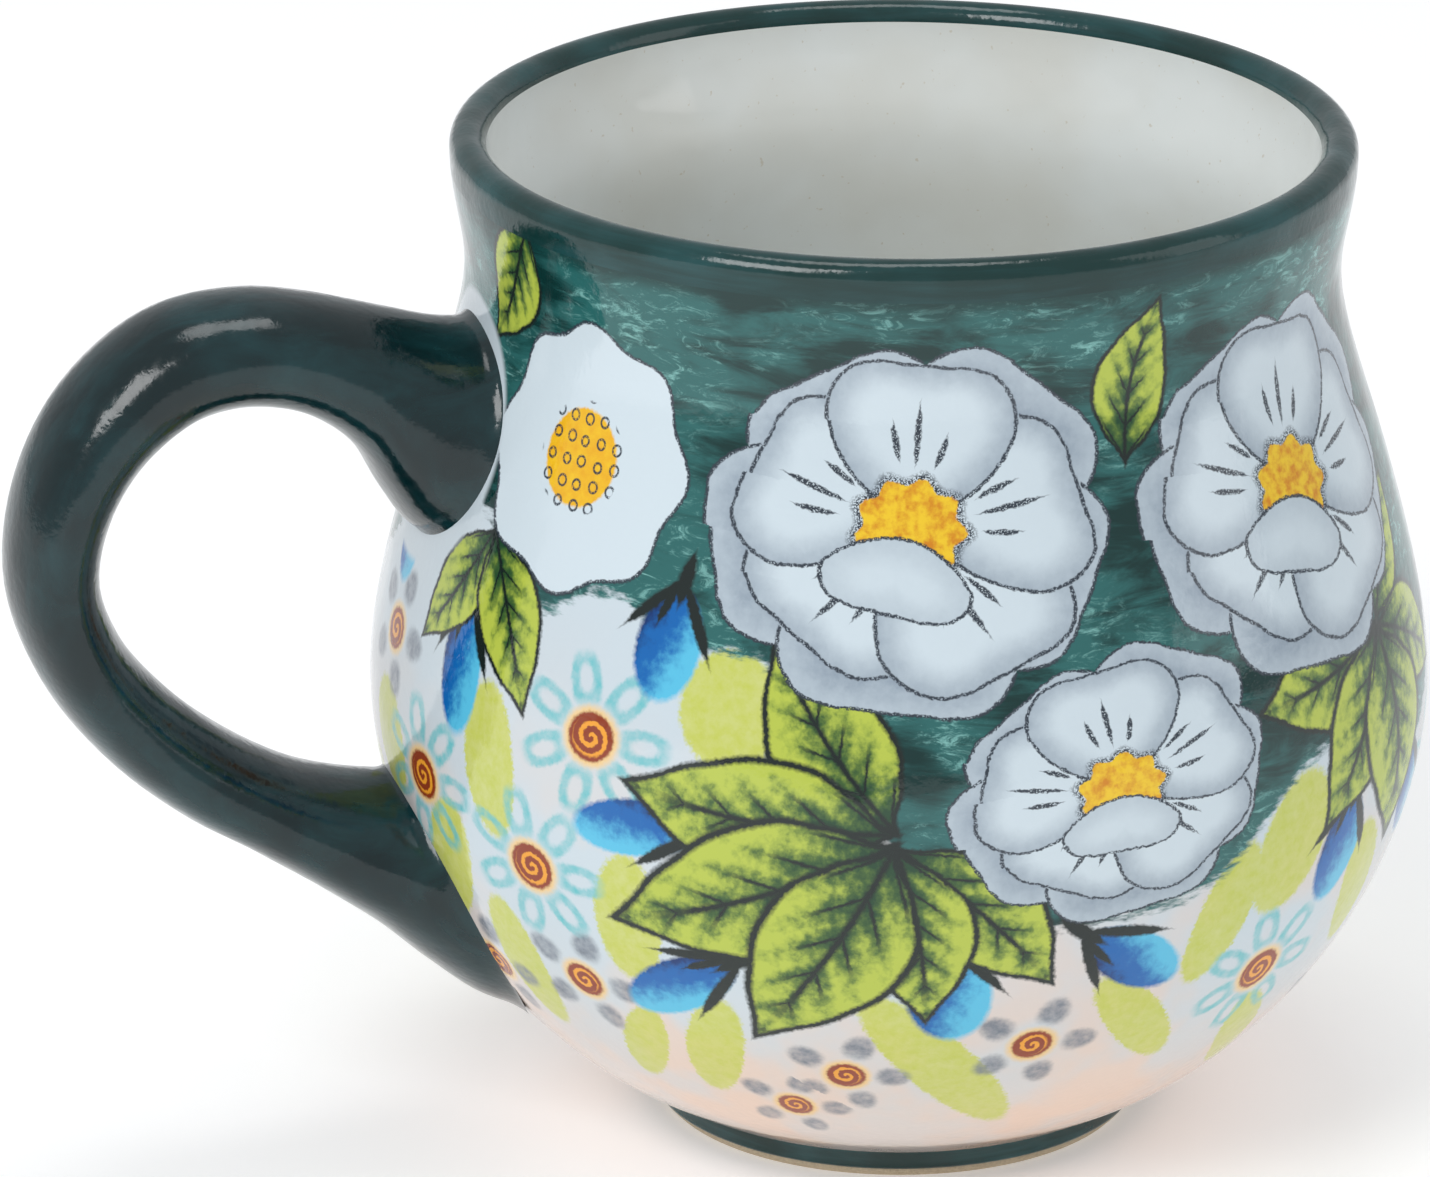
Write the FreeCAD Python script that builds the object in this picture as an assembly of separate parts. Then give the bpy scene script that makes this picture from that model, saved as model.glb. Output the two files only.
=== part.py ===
"""A pot-bellied stoneware mug: a turned clay body on a foot ring, a pulled loop handle stuck on with
slip, and the glaze coats that cover them, each as its own solid.

Millimetres, +Z up. The origin is the centre of the foot's resting plane, on the body's axis.
The handle lies along -X, and its plane is XZ.
"""
import FreeCAD
import Part

import math
import os

from FreeCAD import Vector

# ---- driving dimensions -------------------------------------------------------------------------
MUG_HEIGHT = 96.0
GLAZE = 0.5  # thickness of every glaze coat
WALL = 4.2  # finished wall of the belly, glaze included
FLOOR = 6.0  # finished floor, glaze included, above the foot recess

FOOT_RADIUS = 23.3
FOOT_HEIGHT = 3.2
FOOT_WIDTH = 4.3
FOOT_CHAMFER = 0.6
FOOT_RECESS = 2.4  # depth of the hollow inside the foot ring
FOOT_BAND_BOTTOM = 0.9  # the dark foot band stops this far above the table

LIP_RADIUS = 42.0  # outside radius of the lip
LIP_THICKNESS = 3.4
LIP_BAND_BOTTOM = 92.4  # height where the dark lip band starts on the outside

FOOT_INNER_RADIUS = FOOT_RADIUS - FOOT_WIDTH
FLOOR_LEVEL = FOOT_RECESS + FLOOR
LIP_CENTRE_LEVEL = MUG_HEIGHT - LIP_THICKNESS / 2

UP = Vector(0, 0, 1)
FOOT_FLARE = Vector(1.75, 0, 1)  # the way the belly leaves the foot
FLOOR_CURL = Vector(1, 0, 0.12)  # the way the floor starts to rise into the wall

# Outside of the body from the foot to the lip, as (height, radius).
BODY_OUTLINE = [
    (FOOT_HEIGHT, 24.3),
    (6.0, 29.2),
    (12.0, 36.4),
    (20.0, 42.8),
    (30.0, 47.6),
    (43.0, 49.8),
    (56.0, 47.8),
    (68.0, 44.4),
    (76.0, 41.9),
    (84.0, 40.7),
    (90.0, 41.6),
    (LIP_CENTRE_LEVEL, LIP_RADIUS),
]

# Inside of the body from the floor's edge to the lip: (height, how far inside the outline it is).
INSIDE_EDGE = [
    (12.0, 6.2),
    (20.0, WALL + 0.8),
    (30.0, WALL),
    (43.0, WALL),
    (56.0, WALL),
    (68.0, WALL),
    (76.0, WALL),
    (84.0, WALL - 0.2),
    (90.0, LIP_THICKNESS + 0.2),
]
FLOOR_FLAT_RADIUS = 19.0  # the inside floor is flat out to here, then curves up into the wall

# Handle stations along its centre line, from inside the neck round to inside the lower belly:
# (x, z, direction of travel in degrees from -X towards +Z, half depth in the loop's plane, half width)
HANDLE_STATIONS = [
    (-38.7, 70.4, 7.0, 9.9, 11.4),
    (-46.0, 71.2, 9.0, 9.7, 10.5),
    (-49.4, 73.6, 5.0, 8.4, 9.3),
    (-52.5, 76.4, 2.0, 6.6, 8.4),
    (-56.5, 78.5, 1.0, 5.6, 7.9),
    (-62.2, 79.7, -3.0, 5.3, 7.6),
    (-68.5, 78.9, -18.0, 5.3, 7.6),
    (-75.4, 74.0, -50.0, 5.0, 7.7),
    (-79.8, 66.4, -72.0, 4.5, 7.8),
    (-80.9, 58.5, -94.0, 4.2, 7.8),
    (-78.6, 51.3, -115.0, 4.1, 7.7),
    (-73.4, 44.2, -134.0, 4.2, 7.6),
    (-66.6, 38.4, -144.0, 4.3, 7.7),
    (-60.2, 34.6, -147.0, 4.5, 8.0),
    (-54.9, 31.9, -161.0, 5.4, 8.9),
    (-50.6, 29.7, -172.0, 6.7, 10.3),
    (-46.3, 27.2, -177.0, 8.4, 11.6),
    (-41.5, 24.8, -176.0, 9.7, 12.2),
    (-37.0, 23.1, -173.0, 10.0, 12.4),
]


def line(a, b):
    """A straight edge between two points of the XZ plane, each given as a vector."""
    return Part.makeLine(a, b)


def point(radius, height):
    """A point of the half plane that is turned about Z."""
    return Vector(radius, 0, height)


def spline(points, first, last):
    """A smooth curve through the points, leaving and arriving in the given directions."""
    curve = Part.BSplineCurve()
    curve.interpolate(points, InitialTangent=first, FinalTangent=last)
    return curve


def on_curve(curve, height):
    """Where a curve of the XZ plane first reaches a height."""
    level = line(point(0, height), point(2 * LIP_RADIUS, height))
    return curve.toShape().distToShape(level)[1][0][0]


def moved_by(curve, points, inset, side):
    """The points moved off the curve by inset, to its left for side 1 and to its right for -1."""
    moved = []
    for p in points:
        along = curve.tangent(curve.parameter(p))[0]
        moved.append(p + Vector(-along.z, 0, along.x) * inset * side)
    return moved


def outside_curve(inset):
    """The body's outside, from the foot up to the lip, moved into the clay by inset."""
    points = [point(r, z) for z, r in BODY_OUTLINE]
    curve = spline(points, FOOT_FLARE, UP)
    if not inset:
        return curve
    moved = moved_by(curve, points, inset, 1)
    moved[0] = points[0] - Vector(inset * FOOT_FLARE.Length / FOOT_FLARE.z, 0, 0)
    return spline(moved, FOOT_FLARE, UP)


def inside_curve(inset):
    """The body's inside, from the flat of the floor up to the lip, moved into the clay by inset."""
    outside = outside_curve(0.0)
    points = [point(FLOOR_FLAT_RADIUS, FLOOR_LEVEL)]
    points += [point(on_curve(outside, z).x - depth, z) for z, depth in INSIDE_EDGE]
    points.append(point(LIP_RADIUS - LIP_THICKNESS, LIP_CENTRE_LEVEL))
    curve = spline(points, FLOOR_CURL, UP)
    return spline(moved_by(curve, points, inset, -1), FLOOR_CURL, UP) if inset else curve


def lip_arc(inset):
    """The half round that joins the outside to the inside over the lip."""
    crown = point(LIP_RADIUS - LIP_THICKNESS / 2, MUG_HEIGHT - inset)
    start = outside_curve(inset).EndPoint
    return Part.Arc(start, crown, inside_curve(inset).EndPoint)


def turned(edges):
    """A solid of revolution about Z from a closed loop of edges in the XZ plane."""
    shape = Part.Face(Part.Wire(Part.__sortEdges__(edges))).revolve(Vector(), UP, 360)
    return shape if shape.ShapeType == "Solid" else Part.Solid(shape.Shells[0])


def turned_through(corners):
    """A solid of revolution with straight sides, through (radius, height) corners."""
    loop = [point(r, z) for r, z in corners]
    return turned([line(a, b) for a, b in zip(loop, loop[1:] + loop[:1])])


def turned_under(curve):
    """Everything between a curve and the Z axis, turned."""
    low, high = curve.StartPoint, curve.EndPoint
    over, under = point(0, high.z), point(0, low.z)
    return turned([curve.toShape(), line(high, over), line(over, under), line(under, low)])


def clay_vessel():
    """The clay wall and floor, one coat inside the finished surface, down to the foot ring."""
    outside, inside = outside_curve(GLAZE), inside_curve(GLAZE)
    base = FOOT_RECESS + GLAZE
    floor_edge, bottom_edge = inside.StartPoint, outside.StartPoint
    return turned(
        [
            outside.toShape(),
            lip_arc(GLAZE).toShape(),
            inside.toShape(),
            line(floor_edge, point(0, floor_edge.z)),
            line(point(0, floor_edge.z), point(0, base)),
            line(point(0, base), point(FOOT_INNER_RADIUS, base)),
            line(point(FOOT_INNER_RADIUS, base), point(FOOT_INNER_RADIUS, FOOT_HEIGHT)),
            line(point(FOOT_INNER_RADIUS, FOOT_HEIGHT), bottom_edge),
        ]
    )


def foot_ring():
    """The clay ring that the mug stands on, with both lower edges broken."""
    inner, outer, chamfer = FOOT_INNER_RADIUS, FOOT_RADIUS - GLAZE, FOOT_CHAMFER
    return turned_through(
        [
            (inner, FOOT_HEIGHT),
            (inner, chamfer),
            (inner + chamfer, 0.0),
            (outer - chamfer, 0.0),
            (outer, chamfer),
            (outer, FOOT_HEIGHT),
        ]
    )


def foot_band():
    """The dark glaze round the outside of the foot ring, thinning out at its lower edge."""
    clay, face, low = FOOT_RADIUS - GLAZE, FOOT_RADIUS, FOOT_BAND_BOTTOM
    return turned_through([(clay, low), (clay, FOOT_HEIGHT), (face, FOOT_HEIGHT), (face, low + GLAZE)])


def outside_parts(inset):
    """The outside curve below and above the line where the dark lip band starts."""
    below, above = outside_curve(inset), outside_curve(inset)
    split = below.parameter(on_curve(below, LIP_BAND_BOTTOM))
    below.segment(below.FirstParameter, split)
    above.segment(split, above.LastParameter)
    return below, above


def outside_coat():
    """The painted coat from the foot up to the dark lip band."""
    face, clay = outside_parts(0.0)[0], outside_parts(GLAZE)[0]
    ends = [line(face.StartPoint, clay.StartPoint), line(face.EndPoint, clay.EndPoint)]
    return turned([face.toShape(), clay.toShape()] + ends)


def lip_coat():
    """The dark band, from its line on the outside over the lip to where the inside coat starts."""
    face, clay = outside_parts(0.0)[1], outside_parts(GLAZE)[1]
    over, under = lip_arc(0.0), lip_arc(GLAZE)
    ends = [line(face.StartPoint, clay.StartPoint), line(over.EndPoint, under.EndPoint)]
    return turned([face.toShape(), clay.toShape(), over.toShape(), under.toShape()] + ends)


def inside_coat():
    """The coat that holds the drink: floor and wall up to the dark lip band."""
    face, clay = inside_curve(0.0), inside_curve(GLAZE)
    high, low = face.StartPoint.z, clay.StartPoint.z
    return turned(
        [
            face.toShape(),
            clay.toShape(),
            line(face.EndPoint, clay.EndPoint),
            line(face.StartPoint, point(0, high)),
            line(point(0, high), point(0, low)),
            line(point(0, low), clay.StartPoint),
        ]
    )


def underside_coat():
    """The coat inside the foot ring."""
    return Part.makeCylinder(FOOT_INNER_RADIUS, GLAZE, Vector(0, 0, FOOT_RECESS))


def handle_loft(inset):
    """The handle as a smooth loft through ellipses, each side moved in by inset."""
    rings = []
    across = Vector(0, 1, 0)
    for x, z, turn, half_depth, half_width in HANDLE_STATIONS:
        angle = math.radians(turn)
        centre = Vector(x, 0, z)
        outwards = Vector(math.sin(angle), 0, math.cos(angle))
        sides = [across * (half_width - inset), outwards * (half_depth - inset)]
        sides.sort(key=lambda side: -side.Length)
        rings.append(Part.Wire(Part.Ellipse(centre + sides[0], centre + sides[1], centre).toShape()))
    return Part.makeLoft(rings, True, False)


def largest(shape):
    """The biggest solid that a cut leaves."""
    return max(shape.Solids, key=lambda solid: solid.Volume)


def handle_pieces():
    """The handle's clay, its coat, and the two slip layers between it and the body's clay."""
    loop, clay_loop = handle_loft(0.0), handle_loft(GLAZE)
    finished, clay = turned_under(outside_curve(0.0)), turned_under(outside_curve(GLAZE))
    core = largest(clay_loop.cut(finished))
    coat = largest(loop.cut(finished).cut(clay_loop))
    slip = clay_loop.common(finished.cut(clay)).Solids
    slip.sort(key=lambda pad: pad.CenterOfMass.z)
    return clay_loop, core, coat, slip[0], slip[-1]


def build():
    """Every piece of the mug, by the name of its node."""
    clay_loop, core, coat, lower_slip, upper_slip = handle_pieces()
    return {
        "stoneware_body": clay_vessel(),
        "foot_ring": foot_ring(),
        "handle_core": core,
        "handle_lower_slip_joint": lower_slip,
        "handle_upper_slip_joint": upper_slip,
        "exterior_glaze": largest(outside_coat().cut(clay_loop)),
        "interior_glaze": inside_coat(),
        "rim_glaze_band": lip_coat(),
        "foot_glaze_band": foot_band(),
        "underside_glaze": underside_coat(),
        "handle_glaze": coat,
    }


os.makedirs("parts", exist_ok=True)
for name, shape in build().items():
    shape.exportStep(f"parts/{name}.step")
    print(f"{name:26s} solids {len(shape.Solids)} valid {shape.isValid()} volume {shape.Volume:9.1f} mm3")
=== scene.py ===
import math

import bpy
from mathutils import Matrix, Vector
import numpy as np


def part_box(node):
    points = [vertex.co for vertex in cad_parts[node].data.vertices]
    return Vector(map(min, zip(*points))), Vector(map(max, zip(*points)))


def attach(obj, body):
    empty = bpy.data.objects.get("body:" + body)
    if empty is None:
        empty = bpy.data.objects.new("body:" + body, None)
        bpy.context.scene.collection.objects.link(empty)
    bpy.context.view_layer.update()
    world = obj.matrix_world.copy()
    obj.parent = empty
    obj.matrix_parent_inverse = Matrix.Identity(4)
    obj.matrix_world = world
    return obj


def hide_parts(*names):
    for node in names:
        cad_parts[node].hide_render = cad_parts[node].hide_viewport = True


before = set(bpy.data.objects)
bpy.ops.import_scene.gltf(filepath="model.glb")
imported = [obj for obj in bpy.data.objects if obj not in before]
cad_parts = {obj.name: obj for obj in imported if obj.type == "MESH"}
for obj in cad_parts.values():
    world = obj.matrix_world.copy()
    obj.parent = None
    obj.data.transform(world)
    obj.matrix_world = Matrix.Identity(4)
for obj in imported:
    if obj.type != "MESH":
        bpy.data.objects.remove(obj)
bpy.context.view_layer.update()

MM = 0.001
BODY = "root"

# ---- the mug's sizes, in mm ----------------------------------------------------------------------
LIP_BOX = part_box("rim_glaze_band")
FOOT_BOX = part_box("foot_glaze_band")
UNDER_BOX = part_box("underside_glaze")
INSIDE_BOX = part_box("interior_glaze")
GLAZE = 0.5
COAT_DEPTH = GLAZE * 0.9  # how deep a coat's own back lies, a hair above the clay
HEIGHT = LIP_BOX[1][2] / MM
LIP_RADIUS = LIP_BOX[1][0] / MM
LIP_BAND_BOTTOM = LIP_BOX[0][2] / MM
FOOT_RADIUS = FOOT_BOX[1][0] / MM
FOOT_BAND_BOTTOM = FOOT_BOX[0][2] / MM
FOOT_HEIGHT = FOOT_BOX[1][2] / MM
FOOT_INNER_RADIUS = UNDER_BOX[1][0] / MM
FOOT_RECESS = UNDER_BOX[0][2] / MM
FLOOR_LEVEL = INSIDE_BOX[0][2] / MM + GLAZE
LIP_THICKNESS = 3.4
LIP_CENTRE = HEIGHT - LIP_THICKNESS / 2

# Outside of the body, as (height, radius), on the same points as the CAD outline.
BODY_OUTLINE = [
    (FOOT_HEIGHT, 24.3), (6.0, 29.2), (12.0, 36.4), (20.0, 42.8), (30.0, 47.6), (43.0, 49.8),
    (56.0, 47.8), (68.0, 44.4), (76.0, 41.9), (84.0, 40.7), (90.0, 41.6), (LIP_CENTRE, LIP_RADIUS),
]
# Inside of the wall, as (height, how far inside the outline).
INSIDE_EDGE = [
    (12.0, 6.2), (20.0, 5.0), (30.0, 4.2), (43.0, 4.2), (56.0, 4.2), (68.0, 4.2), (76.0, 4.2),
    (84.0, 4.0), (90.0, 3.6),
]
FLOOR_FLAT_RADIUS = 19.0
FOOT_ARC = 4.0  # length of the foot's own outline, below the first point of BODY_OUTLINE
# Directions, as (radius, height), in which the curves leave the foot and the floor and meet the lip.
FROM_FOOT = (1.75, 1.0)
FROM_FLOOR = (1.0, 0.12)
UPRIGHT = (0.0, 1.0)


# ---- curves --------------------------------------------------------------------------------------
def cubic(values, slopes, gap, k, share):
    """The cubic from value k to the next one, at a share of the gap between them."""
    return (
        (2 * share**3 - 3 * share**2 + 1) * values[k]
        + (share**3 - 2 * share**2 + share) * gap * slopes[k]
        + (3 * share**2 - 2 * share**3) * values[k + 1]
        + (share**3 - share**2) * gap * slopes[k + 1]
    )


def smooth_curve(points, first, last, count):
    """Points along a smooth cubic through the given ones, with the given directions at its ends."""
    points = np.array(points, float)
    knots = np.concatenate([[0.0], np.cumsum(np.hypot(*np.diff(points, axis=0).T))])
    gaps = np.diff(knots)
    size = len(points)
    weights = np.zeros((size, size))
    wanted = np.zeros((size, 2))
    weights[0, 0] = weights[-1, -1] = 1.0
    wanted[0], wanted[-1] = [np.array(v, float) / np.hypot(*v) for v in (first, last)]
    for i in range(1, size - 1):
        before, after = gaps[i - 1], gaps[i]
        weights[i, i - 1 : i + 2] = after, 2 * (before + after), before
        come = after * (points[i] - points[i - 1]) / before
        leave = before * (points[i + 1] - points[i]) / after
        wanted[i] = 3 * (come + leave)
    slopes = np.linalg.solve(weights, wanted)
    ways = np.linspace(0.0, knots[-1], count)
    k = np.clip(np.searchsorted(knots, ways, side="right") - 1, 0, size - 2)
    share = ((ways - knots[k]) / gaps[k])[:, None]
    return cubic(points, slopes, gaps[k][:, None], k, share)


def outside_profile(count):
    points = [(radius, height) for height, radius in BODY_OUTLINE]
    return smooth_curve(points, FROM_FOOT, UPRIGHT, count)


OUTSIDE = outside_profile(600)


def body_radius(height):
    """Outside radius of the body at a height."""
    return np.interp(height, OUTSIDE[:, 1], OUTSIDE[:, 0])


BAND_EDGE = (float(body_radius(LIP_BAND_BOTTOM)), LIP_BAND_BOTTOM)  # where two coats meet
NEAR_EDGE = 0.05  # the outline's own points keep this far in height from that edge


def arc_length(height):
    """Length along the outside, from the table up, for a height."""
    steps = np.hypot(*np.diff(OUTSIDE, axis=0).T)
    return np.interp(height, OUTSIDE[:, 1], FOOT_ARC + np.concatenate([[0.0], np.cumsum(steps)]))


def inside_profile(count):
    points = [(FLOOR_FLAT_RADIUS, FLOOR_LEVEL)]
    points += [(float(body_radius(height)) - depth, height) for height, depth in INSIDE_EDGE]
    points.append((LIP_RADIUS - LIP_THICKNESS, LIP_CENTRE))
    return smooth_curve(points, FROM_FLOOR, UPRIGHT, count)


def moved_in(profile, inset, side):
    """The profile moved off itself by inset, to its left for side 1 and to its right for -1."""
    along = np.gradient(profile, axis=0)
    along /= np.hypot(*along.T)[:, None]
    return profile + np.stack([-along[:, 1], along[:, 0]], 1) * inset * side


# ---- meshes --------------------------------------------------------------------------------------
SHARP_ANGLE = math.radians(50)
ON_AXIS = 1e-6


def new_object(name, data):
    made = bpy.data.objects.new(name, data)
    bpy.context.scene.collection.objects.link(made)
    return made


def add_object(name, vertices, faces, node, arcs=None):
    """A smooth mesh in metres from millimetre points, riding on the body in place of its CAD node."""
    mesh = bpy.data.meshes.new(name)
    mesh.from_pydata((np.asarray(vertices) * MM).tolist(), [], faces)
    if arcs is not None:
        layer = mesh.attributes.new("arc", "FLOAT", "POINT")
        layer.data.foreach_set("value", np.asarray(arcs, np.float32))
    mesh.shade_smooth()
    mesh.set_sharp_from_angle(angle=SHARP_ANGLE)
    mesh.validate()
    mesh.update()
    piece = new_object(name, mesh)
    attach(piece, BODY)
    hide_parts(node)
    return piece


def turned(name, node, profile, around, arcs=None):
    """A closed loop of (radius, height) points turned about Z, with single points on the axis.
    Arcs, one to a point, are only for a loop that keeps off the axis."""
    vertices, rings = [], []
    for radius, height in profile:
        if radius < ON_AXIS:
            rings.append([len(vertices)] * around)
            vertices.append((0.0, 0.0, height))
            continue
        rings.append(list(range(len(vertices), len(vertices) + around)))
        for k in range(around):
            angle = 2 * math.pi * k / around
            vertices.append((radius * math.sin(angle), -radius * math.cos(angle), height))
    faces = []
    for low, high in zip(rings, rings[1:] + rings[:1]):
        for k in range(around):
            after = (k + 1) % around
            corners = list(dict.fromkeys((low[k], low[after], high[after], high[k])))
            if len(corners) > 2:
                faces.append(corners)
    if arcs is not None:
        arcs = np.repeat(arcs, around)
    return add_object(name, vertices, faces, node, arcs)


def exterior_piece():
    face = outside_profile(300)
    face = np.concatenate([face[face[:, 1] < LIP_BAND_BOTTOM - NEAR_EDGE], [BAND_EDGE]])
    back = moved_in(face, COAT_DEPTH, 1)[::-6]
    profile = np.concatenate([face, back])
    arcs = arc_length(np.clip(profile[:, 1], FOOT_HEIGHT, HEIGHT))
    return turned("exterior_glaze_painted", "exterior_glaze", profile, 272, arcs)


def lip_arc(inset, count):
    """The half round of the lip, from outside to inside."""
    angle = np.linspace(0.0, math.pi, count)
    radius = LIP_THICKNESS / 2 - inset
    middle = LIP_RADIUS - LIP_THICKNESS / 2
    return np.stack([middle + radius * np.cos(angle), LIP_CENTRE + radius * np.sin(angle)], 1)


def clay_piece():
    """The turned pot under the coats."""
    outside = moved_in(outside_profile(160), GLAZE, 1)
    inside = moved_in(inside_profile(120), GLAZE, -1)[::-1]
    low = FOOT_RECESS + GLAZE
    middle = [(0.0, FLOOR_LEVEL - GLAZE), (0.0, low)]
    recess = [(FOOT_INNER_RADIUS, low), (FOOT_INNER_RADIUS, FOOT_HEIGHT)]
    profile = np.concatenate([outside, lip_arc(GLAZE, 14)[1:-1], inside, middle, recess])
    return turned("stoneware_body_clay", "stoneware_body", profile, 192)


def rim_piece():
    above = OUTSIDE[OUTSIDE[:, 1] > LIP_BAND_BOTTOM + NEAR_EDGE][:-1]
    outside = np.concatenate([[BAND_EDGE], above])
    face = np.concatenate([outside, lip_arc(0.0, 28)])
    back = np.concatenate([moved_in(outside, COAT_DEPTH, 1), lip_arc(COAT_DEPTH, 14)])[::-1]
    profile = np.concatenate([face, back])
    return turned("rim_glaze_band_green", "rim_glaze_band", profile, 256)


def interior_piece():
    face = inside_profile(200)
    back = moved_in(face, COAT_DEPTH, -1)[::-5]
    top = [(0.0, FLOOR_LEVEL)]
    flat = [(FLOOR_FLAT_RADIUS * k / 6, FLOOR_LEVEL) for k in range(1, 6)]
    under = [(0.0, FLOOR_LEVEL - COAT_DEPTH)]
    profile = np.concatenate([top, flat, face, back, under])
    return turned("interior_glaze_white", "interior_glaze", profile, 224)


def foot_piece():
    chamfer = 0.1
    clay, low = FOOT_RADIUS - GLAZE, FOOT_BAND_BOTTOM
    angle = np.linspace(-math.pi / 2, 0.0, 8)
    curl = np.stack([clay + GLAZE * np.cos(angle), low + GLAZE + GLAZE * np.sin(angle)], 1)
    straight = [(FOOT_RADIUS, z) for z in np.linspace(low + GLAZE, FOOT_HEIGHT - chamfer, 6)[1:]]
    top = [(FOOT_RADIUS - chamfer, FOOT_HEIGHT), (clay, FOOT_HEIGHT)]
    profile = np.concatenate([curl, straight, top])
    return turned("foot_glaze_band_green", "foot_glaze_band", profile, 224)


def underside_piece():
    """The coat in the foot recess, thinnest in its middle."""
    gap, hollow = 0.05, 0.12
    edge = FOOT_INNER_RADIUS - gap
    radii = np.linspace(0.0, edge, 26)
    dome = [(r, FOOT_RECESS + hollow * math.cos(r / edge * math.pi / 2)) for r in radii]
    top = [(edge, FOOT_RECESS + GLAZE), (0.0, FOOT_RECESS + GLAZE)]
    return turned("underside_glaze_clear", "underside_glaze", dome + top, 160)


# ---- the handle ----------------------------------------------------------------------------------
# (x, z, turn, half depth, half width), the CAD handle's own stations.
HANDLE_STATIONS = [
    (-38.7, 70.4, 7.0, 9.9, 11.4), (-46.0, 71.2, 9.0, 9.7, 10.5), (-49.4, 73.6, 5.0, 8.4, 9.3),
    (-52.5, 76.4, 2.0, 6.6, 8.4), (-56.5, 78.5, 1.0, 5.6, 7.9), (-62.2, 79.7, -3.0, 5.3, 7.6),
    (-68.5, 78.9, -18.0, 5.3, 7.6), (-75.4, 74.0, -50.0, 5.0, 7.7), (-79.8, 66.4, -72.0, 4.5, 7.8),
    (-80.9, 58.5, -94.0, 4.2, 7.8), (-78.6, 51.3, -115.0, 4.1, 7.7), (-73.4, 44.2, -134.0, 4.2, 7.6),
    (-66.6, 38.4, -144.0, 4.3, 7.7), (-60.2, 34.6, -147.0, 4.5, 8.0), (-54.9, 31.9, -161.0, 5.4, 8.9),
    (-50.6, 29.7, -172.0, 6.7, 10.3), (-46.3, 27.2, -177.0, 8.4, 11.6), (-41.5, 24.8, -176.0, 9.7, 12.2),
    (-37.0, 23.1, -173.0, 10.0, 12.4),
]
ROOT_DEPTH = 0.35  # how far the handle's ends reach into the body's coat
FILLET = 1.3
FLARE_SHARE = 0.8  # how far the fillet spreads along the body, against its height
END_CROWDING = 0.55  # how much closer the rings lie towards the ends, from 0 to 1
HALVINGS = 40  # steps in the search for the handle's ends


def spline_values(knots, values, ways):
    """A smooth cubic through values at the knots, at the given ways along, column by column."""
    slopes = np.gradient(values, knots, axis=0)
    k = np.clip(np.searchsorted(knots, ways, side="right") - 1, 0, len(values) - 2)
    gap = (knots[k + 1] - knots[k])[:, None]
    return cubic(values, slopes, gap, k, (ways - knots[k])[:, None] / gap)


def handle_points(ways, ring):
    """Points of the handle's surface for the way along, 0 to 1, and the angle round the section."""
    stations = np.array(HANDLE_STATIONS)
    gaps = np.hypot(np.diff(stations[:, 0]), np.diff(stations[:, 1]))
    knots = np.concatenate([[0.0], np.cumsum(gaps)]) / gaps.sum()
    x, z, turn, depth, width = spline_values(knots, stations, ways).T
    angle = np.radians(turn)
    out = np.sin(ring) * depth
    side = np.cos(ring) * width
    return np.stack([x + np.sin(angle) * out, side, z + np.cos(angle) * out], 1)


def height_above_body(points):
    return np.hypot(points[:, 0], points[:, 1]) - body_radius(points[:, 2])


def handle_ends(ring):
    """The ways along, near both ends, where the handle goes under the body's surface."""
    ends = []
    for buried_end in (0.0, 1.0):
        buried = np.full(len(ring), buried_end)
        free = np.full(len(ring), 0.5)
        for _ in range(HALVINGS):
            half = (buried + free) / 2
            inside = height_above_body(handle_points(half, ring)) < -ROOT_DEPTH
            buried, free = np.where(inside, half, buried), np.where(inside, free, half)
        ends.append(buried)
    return ends


def filleted(points):
    """A ring of the handle, spread outwards where it comes close to the body."""
    rise = np.clip((height_above_body(points) + ROOT_DEPTH) / (FILLET + ROOT_DEPTH), 0.0, 1.0)
    flare = FILLET * (1.0 - np.sqrt(1.0 - (1.0 - rise) ** 2)) * FLARE_SHARE
    radial = np.stack([points[:, 0], points[:, 1], np.zeros(len(points))], 1)
    radial /= np.linalg.norm(radial, axis=1)[:, None]
    away = points - points.mean(axis=0)
    away -= radial * (away * radial).sum(1)[:, None]
    away /= np.linalg.norm(away, axis=1)[:, None] + 1e-9
    return points + away * flare[:, None]


def handle_piece(along=220, around=72):
    ring = np.linspace(0.0, 2 * math.pi, around, endpoint=False)
    first, last = handle_ends(ring)
    rings = []
    for k in range(along):
        share = k / (along - 1)
        ease = share - END_CROWDING * math.sin(2 * math.pi * share) / (2 * math.pi)
        rings.append(filleted(handle_points(first + (last - first) * ease, ring)))
    count = along * around
    vertices = np.concatenate(rings + [[rings[0].mean(axis=0)], [rings[-1].mean(axis=0)]])
    faces = []
    for low in range(0, count - around, around):
        high = low + around
        for i in range(around):
            n = (i + 1) % around
            faces.append([low + i, low + n, high + n, high + i])
    last_ring = count - around
    for i in range(around):
        n = (i + 1) % around
        faces.append([count, n, i])
        faces.append([count + 1, last_ring + i, last_ring + n])
    return add_object("handle_glaze_green", vertices, faces, "handle_glaze")


# ---- node writing --------------------------------------------------------------------------------
class Value:
    """A socket with arithmetic, so that a pattern reads as a formula."""

    def __init__(self, sheet, socket):
        self.sheet = sheet
        self.socket = socket

    def __add__(self, other):
        return self.sheet.math("ADD", self, other)

    def __sub__(self, other):
        return self.sheet.math("SUBTRACT", self, other)

    def __rsub__(self, other):
        return self.sheet.math("SUBTRACT", other, self)

    def __mul__(self, other):
        return self.sheet.math("MULTIPLY", self, other)


MIX_SOCKETS = {"FLOAT": (2, 3, 0), "VECTOR": (4, 5, 1), "RGBA": (6, 7, 2)}  # two values, result


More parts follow.
